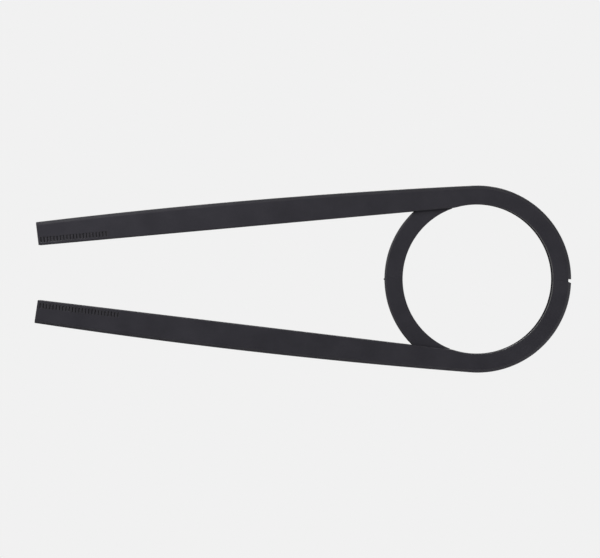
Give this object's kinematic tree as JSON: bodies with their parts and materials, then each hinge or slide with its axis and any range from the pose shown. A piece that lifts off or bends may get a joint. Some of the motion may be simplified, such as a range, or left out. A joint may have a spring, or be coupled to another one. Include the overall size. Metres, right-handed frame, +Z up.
{
  "type": "bicycle chain case front part",
  "caption": "Front part of a floating bicycle chain case: moulded ring round the chainring, with channel arms for the upper and lower chain run, in halves that snap together.",
  "frame": {"origin": "on the crank axis, in the middle of the case's width", "axes": "+X forward along the bicycle, +Y to its left, +Z up: the case as it sits on the bicycle, with the side that the picture shows facing -Y"},
  "size_m": [0.4819, 0.018, 0.1684],
  "materials": {
    "case_plastic": "black moulded plastic with a fine matt grain"
  },
  "bodies": {
    "root": {"upper_half": "case_plastic", "lower_half": "case_plastic"}
  },
  "joints": []
}
